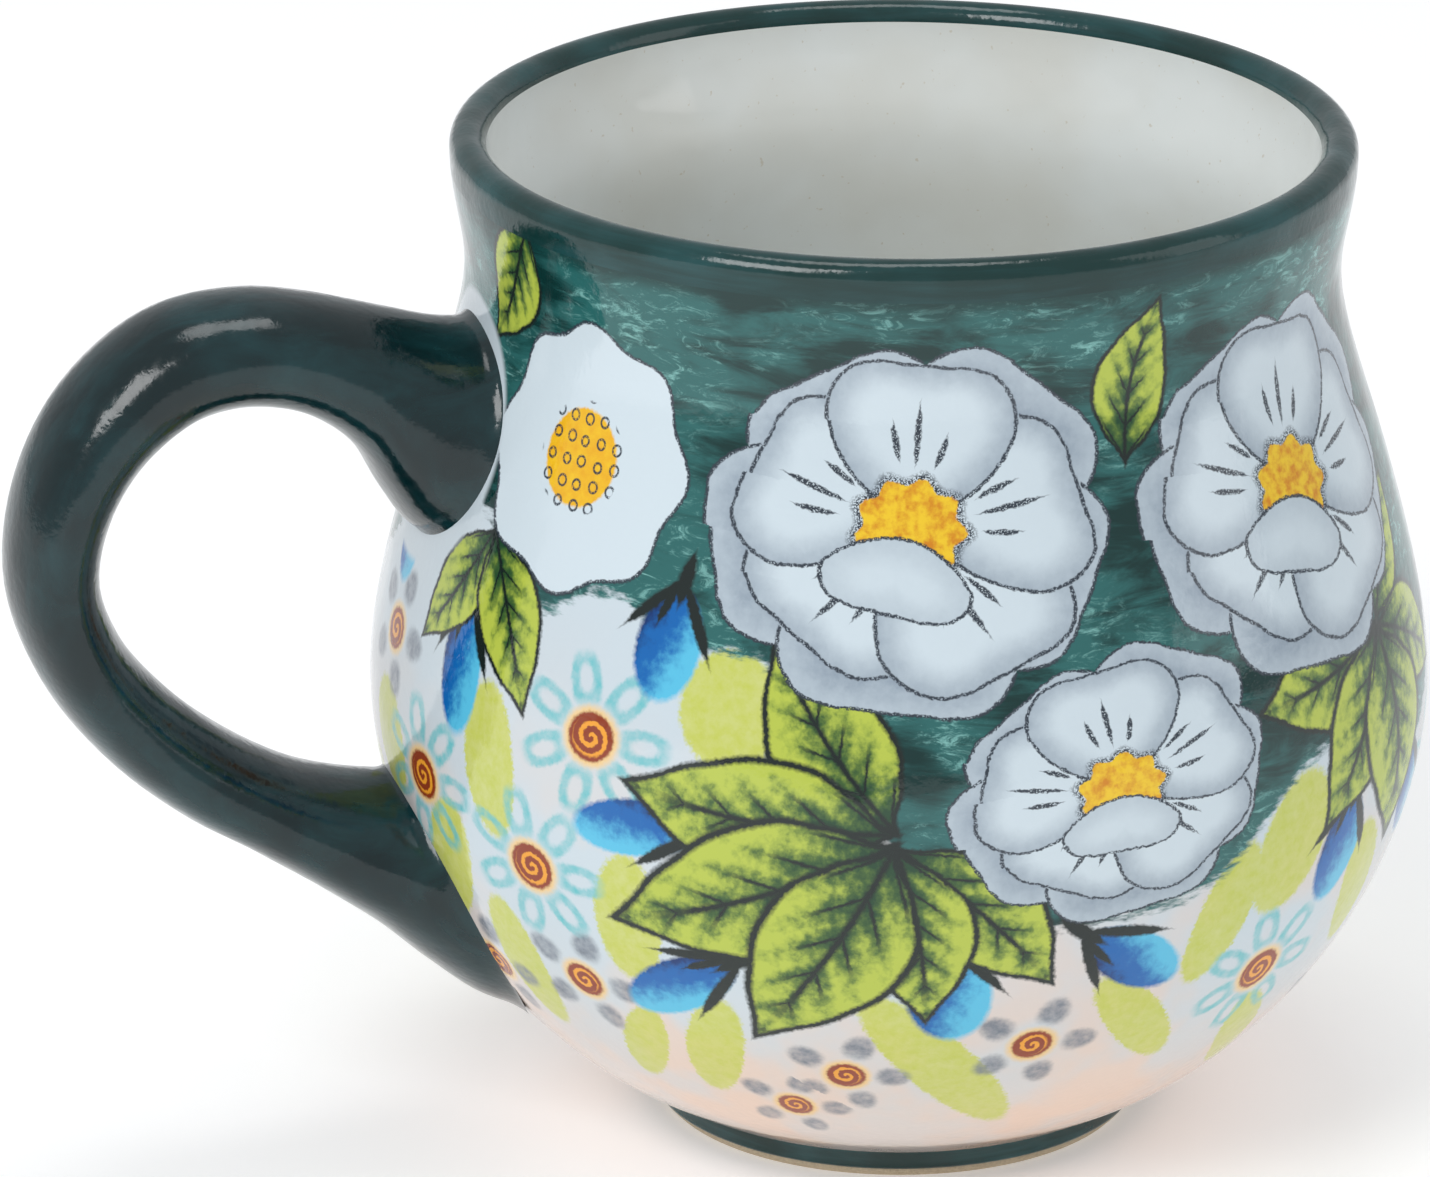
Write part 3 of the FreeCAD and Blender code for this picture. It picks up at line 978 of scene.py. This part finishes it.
def build_simple_flower(sheet, flat, hand, colour, grain, stipple):
    centre, half_width, half_height = SIMPLE_FLOWER
    local = sheet.vector("SUBTRACT", hand, (*centre, 0.0))
    scallop = sheet.math("COSINE", sheet.bearing(local) * 8.0)
    rim = sheet.math("MULTIPLY_ADD", scallop, 0.05, 1.0)
    edge = (rim - sheet.oval(hand, centre, (half_width, half_height))) * half_width
    colour = sheet.mix(colour, WHITE, sheet.fill(edge, 0.15))
    eye = 1.0 - sheet.oval(hand, centre, (SIMPLE_EYE, SIMPLE_EYE))
    amber = sheet.mix(rgb(244, 206, 40), rgb(226, 150, 24), grain)
    colour = sheet.mix(colour, amber, sheet.fill(eye, 0.06))
    # small rings scattered over the eye and a little past it
    dots = sheet.node("ShaderNodeTexVoronoi")
    dots.inputs["Scale"].default_value = 0.5
    dots.inputs["Randomness"].default_value = 0.12
    sheet.put(dots.inputs["Vector"], sheet.vector("ADD", flat, (0.4, 0.9, 0.0)))
    ring = sheet.line(Value(sheet, dots.outputs["Distance"]) - 0.25, 0.11, 0.05)
    ring = sheet.least(ring, sheet.fill(eye + 0.16, 0.05))
    marks = sheet.least(sheet.most(ring, sheet.line(edge, 0.36)), sheet.ramp(stipple, 0.25, 0.5))
    return sheet.mix(colour, INK, marks)


def painted_material():
    material, sheet, place = new_material("painted_glaze")
    whole_x = sheet.math("ARCTAN2", sheet.across(place), sheet.up(place) * -1.0) * MAP_RADIUS
    x = sheet.math("WRAP", whole_x, SEAM + REPEAT, SEAM)
    arc = sheet.node("ShaderNodeAttribute", attribute_name="arc")
    y = Value(sheet, arc.outputs["Fac"])
    flat = sheet.combine(x, y)
    shake = sheet.noise(place, 2.6, 1.0, colour=True)
    shake = sheet.vector("SUBTRACT", shake, (0.5, 0.5, 0.5))
    # where the hand puts a mark meant for flat, so that no line is quite true
    hand = sheet.vector("ADD", flat, sheet.vector("SCALE", shake, scale=0.35))
    grain = sheet.noise(place, 0.9, 3.0, 0.6)
    stipple = sheet.noise(place, 7.0, 1.0)

    ground = group("ground", {"place": "v", "flat": "v", "shake": "v", "grain": "f"}, "c", build_ground)
    colour = sheet.use(ground, place=place, flat=flat, shake=shake, grain=grain)
    drawn = {"hand": "v", "colour": "c", "grain": "f"}
    grey = build_daisies(GREY_DAISIES, 5, 4.7, (1.9, 1.7), False, 2.0, DAISY_GREY, 0.2)
    blue = build_daisies(BLUE_DAISIES, 7, 5.3, (2.9, 1.5), True, 2.35, TURQUOISE, 0.15)
    for name, build in (("grey_daisies", grey), ("turquoise_daisies", blue)):
        colour = sheet.use(group(name, drawn, "c", build), hand=hand, colour=colour, grain=grain)
    wash = group("green_wash", {"place": "v", "flat": "v", "colour": "c"}, "c", build_wash)
    colour = sheet.use(wash, place=place, flat=flat, colour=colour)
    for centre, (half_width, half_length), angle in BUDS:
        lies = axes(centre, math.radians(angle), half_width, half_length)
        colour = sheet.use(BUD, place=hand, colour=colour, grain=grain, **lies)
    colour = sheet.mix(colour, INK_GREEN, strokes(sheet, hand, 0.0, sepals()))
    for leaf in LEAVES:
        colour = sheet.use(LEAF_GROUP, place=hand, colour=colour, grain=grain, bend=-0.5, **pose(*leaf))
    simple = group("simple_flower", {"flat": "v"} | drawn | {"stipple": "f"}, "c", build_simple_flower)
    colour = sheet.use(simple, flat=flat, hand=hand, colour=colour, grain=grain, stipple=stipple)
    # two big blossoms from one drawing, then the small one
    second = sheet.math("GREATER_THAN", x, SECOND_FROM)
    shift = sheet.vector("SCALE", (*BLOSSOM_STEP, 0.0), scale=second)
    first = sheet.vector("SUBTRACT", hand, shift)
    for spot, (centre, turn, wide, tall) in ((first, BIG_BLOSSOM), (hand, SMALL_BLOSSOM)):
        spot = sheet.combine(*in_axes(sheet, spot, **axes(centre, math.radians(turn), wide, tall)))
        colour = sheet.use(BLOSSOM, spot=spot, colour=colour, grain=grain, stipple=stipple)
    handle_x = -MAP_RADIUS * math.pi / 2
    root = sheet.oval(sheet.combine(whole_x, y), (handle_x, BARE_HEIGHT), BARE_SIZE)
    colour = sheet.mix(colour, GROUND, sheet.ramp(root, 1.06, 0.98))

    pits, relief = uneven(sheet, place, 1.2, 0.25, 0.11)
    finish(sheet, colour, sheet.ramp(pits, 0.3, 0.7, 0.05, 0.11), relief, 0.25)
    return material


def green_glaze(name, streak, dark, light):
    """Brushed green with streaks stretched along the smallest value of streak."""
    material, sheet, place = new_material(name)
    brush = sheet.noise(sheet.stretched(place, streak), 1.0, 4.0, 0.6, 0.8)
    patch = sheet.noise(place, 0.1, 2.0, 0.5)
    tone = sheet.math("MULTIPLY_ADD", patch, 1.2, brush - 0.75)
    colour = sheet.mix(dark, light, sheet.ramp(tone, 0.1, 0.8))
    pits, relief = uneven(sheet, place, 1.1, 0.3, 0.12)
    finish(sheet, colour, sheet.ramp(pits, 0.3, 0.7, 0.1, 0.19), relief, 0.3)
    return material


def white_glaze(name, tint):
    material, sheet, place = new_material(name)
    cloud = sheet.noise(place, 0.05, 3.0, 0.5)
    speck = sheet.noise(place, 1.6, 1.0, 0.5)
    colour = sheet.mix(tint, rgb(222, 223, 217), sheet.ramp(cloud, 0.35, 0.7))
    colour = sheet.mix(colour, rgb(196, 184, 160), sheet.ramp(speck, 0.72, 0.8) * 0.5)
    waves = sheet.noise(place, 0.1, 2.0, 0.5)
    finish(sheet, colour, sheet.ramp(speck, 0.3, 0.7, 0.06, 0.12), waves * 3.0, 0.25)
    return material


def clay_material(name, tint):
    material, sheet, place = new_material(name)
    grit = sheet.noise(place, 3.0, 4.0, 0.7)
    cloud = sheet.noise(place, 0.2, 2.0, 0.5)
    colour = sheet.mix(tint, rgb(176, 156, 128), sheet.ramp(grit, 0.35, 0.75))
    colour = sheet.mix(colour, rgb(214, 200, 176), cloud * 0.6)
    finish(sheet, colour, sheet.ramp(grit, 0.2, 0.8, 0.6, 0.85), grit, 0.6, spec=0.3)
    return material


def dress_cad(node, material):
    """Gives the material to a CAD node that stays visible."""
    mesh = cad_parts[node].data
    mesh.materials.clear()
    mesh.materials.append(material)


def dress(piece, material):
    piece.data.materials.append(material)


# ---- the pieces ----------------------------------------------------------------------------------
ROUND_IT = (0.06, 0.06, 0.8)  # streaks that run round the mug
ALONG_IT = (0.12, 0.5, 0.12)  # streaks that run along the handle
HANDLE_GREENS = (rgb(3, 28, 31), rgb(18, 56, 60))
dress(exterior_piece(), painted_material())
dress(rim_piece(), green_glaze("green_rim_glaze", ROUND_IT, GREEN_DEEP, rgb(26, 72, 74)))
dress(interior_piece(), white_glaze("white_glaze", rgb(230, 234, 232)))
dress(foot_piece(), green_glaze("green_foot_glaze", ROUND_IT, GREEN_DEEP, rgb(40, 84, 88)))
dress(underside_piece(), white_glaze("underside_glaze", rgb(224, 218, 204)))
dress(handle_piece(), green_glaze("green_handle_glaze", ALONG_IT, *HANDLE_GREENS))
CLAY = clay_material("bare_stoneware", rgb(206, 188, 158))
dress(clay_piece(), CLAY)
for node in ("foot_ring", "handle_core"):
    dress_cad(node, CLAY)
SLIP = clay_material("fired_slip", rgb(190, 176, 152))
for node in ("handle_upper_slip_joint", "handle_lower_slip_joint"):
    dress_cad(node, SLIP)


# ---- floor, light, camera ------------------------------------------------------------------------
def floor():
    half = 1.6
    corners = [(-half, -half, 0), (half, -half, 0), (half, half, 0), (-half, half, 0)]
    mesh = bpy.data.meshes.new("floor")
    mesh.from_pydata(corners, [], [(0, 1, 2, 3)])
    piece = new_object("floor", mesh)
    material, sheet, place = new_material("pale_floor")
    white = sheet.mix(rgb(244, 244, 244), rgb(247, 247, 247), sheet.noise(place, 0.01, 2.0))
    shader = finish(sheet, white, 0.75, spec=0.2)
    sheet.put(shader.inputs["Emission Color"], white)
    shader.inputs["Emission Strength"].default_value = 0.24
    mesh.materials.append(material)


def soft_box(name, place, aim, size, power):
    data = bpy.data.lights.new(name, "AREA")
    data.shape = "RECTANGLE"
    data.size, data.size_y = size
    data.energy = power
    lamp = new_object(name, data)
    lamp.location = place
    lamp.rotation_euler = (Vector(aim) - Vector(place)).to_track_quat("-Z", "Y").to_euler()


def world_light(strength):
    world = bpy.data.worlds.new("soft_world")
    world.use_nodes = True
    background = world.node_tree.nodes["Background"]
    background.inputs[0].default_value = (0.95, 0.97, 1.0, 1.0)
    background.inputs[1].default_value = strength
    bpy.context.scene.world = world


CAMERA_TURN = -16.5  # degrees round the mug from the front
CAMERA_LIFT = 20.17
CAMERA_DISTANCE = 0.9
CAMERA_ROLL = 0.55
LENS = 240.8
SHIFT = (-0.12902, 0.01643)  # of the picture's width: the body stands right of the middle


def camera():
    data = bpy.data.cameras.new("camera")
    data.sensor_width = 36.0
    data.lens = LENS
    turn, lift = math.radians(CAMERA_TURN), math.radians(CAMERA_LIFT)
    back = Vector((math.sin(turn) * math.cos(lift), -math.cos(turn) * math.cos(lift), math.sin(lift)))
    middle = Vector((0.0, 0.0, HEIGHT * MM / 2))
    eye = middle + back * CAMERA_DISTANCE
    right = Vector((math.cos(turn), math.sin(turn), 0.0))
    up = back.cross(right)
    spin = Matrix.Rotation(math.radians(CAMERA_ROLL), 3, back)
    facing = Matrix((spin @ right, spin @ up, back)).transposed()
    cam = new_object("camera", data)
    cam.matrix_world = Matrix.Translation(eye) @ facing.to_4x4()
    data.shift_x, data.shift_y = SHIFT
    data.clip_end = 20.0
    bpy.context.scene.camera = cam


floor()
world_light(0.58)
soft_box("key", (-0.8, -0.6, 0.85), (0.0, 0.0, 0.05), (0.55, 0.55), 6.6)
soft_box("fill", (0.9, -0.5, 0.5), (0.0, 0.0, 0.05), (0.5, 0.9), 1.3)
soft_box("top", (0.0, 0.1, 1.2), (0.0, 0.0, 0.0), (0.6, 0.35), 2.2)
camera()
bpy.context.scene.view_settings.view_transform = "Standard"
